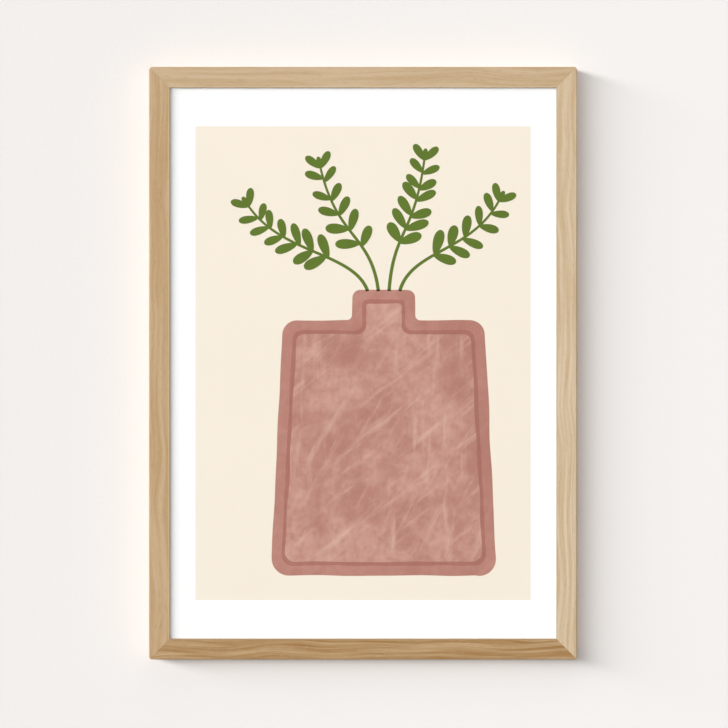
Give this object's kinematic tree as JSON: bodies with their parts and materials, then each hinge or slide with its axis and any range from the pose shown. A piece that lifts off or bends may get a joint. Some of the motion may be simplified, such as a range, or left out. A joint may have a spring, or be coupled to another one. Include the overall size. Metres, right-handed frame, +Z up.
{
  "type": "framed botanical print",
  "caption": "Slim oak picture frame with a glazed botanical herb print, closed by turn buttons behind and hung by a sawtooth hanger.",
  "frame": {"origin": "the middle notch of the sawtooth hanger, at the plane of the wall, where the wall's nail carries the frame", "axes": "+Z up the wall, +Y into the wall, so the picture faces -Y; +X is on the right of someone looking at the picture"},
  "size_m": [0.32, 0.0207, 0.4431],
  "materials": {
    "oak": "satin",
    "acrylic": "gloss",
    "print_paper": "matte",
    "foam_board": "matte",
    "corrugated_board": "matte",
    "hardboard": "matte",
    "zinc_plated_steel": "satin",
    "spring_steel": "satin",
    "rubber": "matte"
  },
  "bodies": {
    "frame": {"rail_top": "oak", "rail_bottom": "oak", "rail_left": "oak", "rail_right": "oak", "v_nail_top_left": "spring_steel", "v_nail_top_right": "spring_steel", "v_nail_bottom_left": "spring_steel", "v_nail_bottom_right": "spring_steel", "glazing": "acrylic", "print_sheet": "print_paper", "foam_board": "foam_board", "cardboard_filler": "corrugated_board", "backing_board": "hardboard", "button_screw_top_left": "zinc_plated_steel", "button_screw_top_right": "zinc_plated_steel", "button_screw_right_upper": "zinc_plated_steel", "button_screw_right_lower": "zinc_plated_steel", "button_screw_bottom_right": "zinc_plated_steel", "button_screw_bottom_left": "zinc_plated_steel", "button_screw_left_upper": "zinc_plated_steel", "button_screw_left_lower": "zinc_plated_steel", "sawtooth_hanger": "zinc_plated_steel", "hanger_nail_left": "zinc_plated_steel", "wall_bumper_left": "rubber", "hanger_nail_right": "zinc_plated_steel", "wall_bumper_right": "rubber"},
    "turn_button_top_left": {"turn_button_top_left": "zinc_plated_steel"},
    "turn_button_top_right": {"turn_button_top_right": "zinc_plated_steel"},
    "turn_button_right_upper": {"turn_button_right_upper": "zinc_plated_steel"},
    "turn_button_right_lower": {"turn_button_right_lower": "zinc_plated_steel"},
    "turn_button_bottom_right": {"turn_button_bottom_right": "zinc_plated_steel"},
    "turn_button_bottom_left": {"turn_button_bottom_left": "zinc_plated_steel"},
    "turn_button_left_upper": {"turn_button_left_upper": "zinc_plated_steel"},
    "turn_button_left_lower": {"turn_button_left_lower": "zinc_plated_steel"}
  },
  "joints": [
    {"name": "turn_button_top_left_swivel", "type": "hinge", "parent": "frame", "child": "turn_button_top_left", "pos_m": [-0.08, -0.00275, 0.0033], "axis": [0, 1, 0], "continuous": true},
    {"name": "turn_button_top_right_swivel", "type": "hinge", "parent": "frame", "child": "turn_button_top_right", "pos_m": [0.08, -0.00275, 0.0033], "axis": [0, 1, 0], "continuous": true},
    {"name": "turn_button_right_upper_swivel", "type": "hinge", "parent": "frame", "child": "turn_button_right_upper", "pos_m": [0.15475, -0.00275, -0.1022], "axis": [0, 1, 0], "continuous": true},
    {"name": "turn_button_right_lower_swivel", "type": "hinge", "parent": "frame", "child": "turn_button_right_lower", "pos_m": [0.15475, -0.00275, -0.3237], "axis": [0, 1, 0], "continuous": true},
    {"name": "turn_button_bottom_right_swivel", "type": "hinge", "parent": "frame", "child": "turn_button_bottom_right", "pos_m": [0.08, -0.00275, -0.4292], "axis": [0, 1, 0], "continuous": true},
    {"name": "turn_button_bottom_left_swivel", "type": "hinge", "parent": "frame", "child": "turn_button_bottom_left", "pos_m": [-0.08, -0.00275, -0.4292], "axis": [0, 1, 0], "continuous": true},
    {"name": "turn_button_left_upper_swivel", "type": "hinge", "parent": "frame", "child": "turn_button_left_upper", "pos_m": [-0.15475, -0.00275, -0.1022], "axis": [0, 1, 0], "continuous": true},
    {"name": "turn_button_left_lower_swivel", "type": "hinge", "parent": "frame", "child": "turn_button_left_lower", "pos_m": [-0.15475, -0.00275, -0.3237], "axis": [0, 1, 0], "continuous": true}
  ]
}
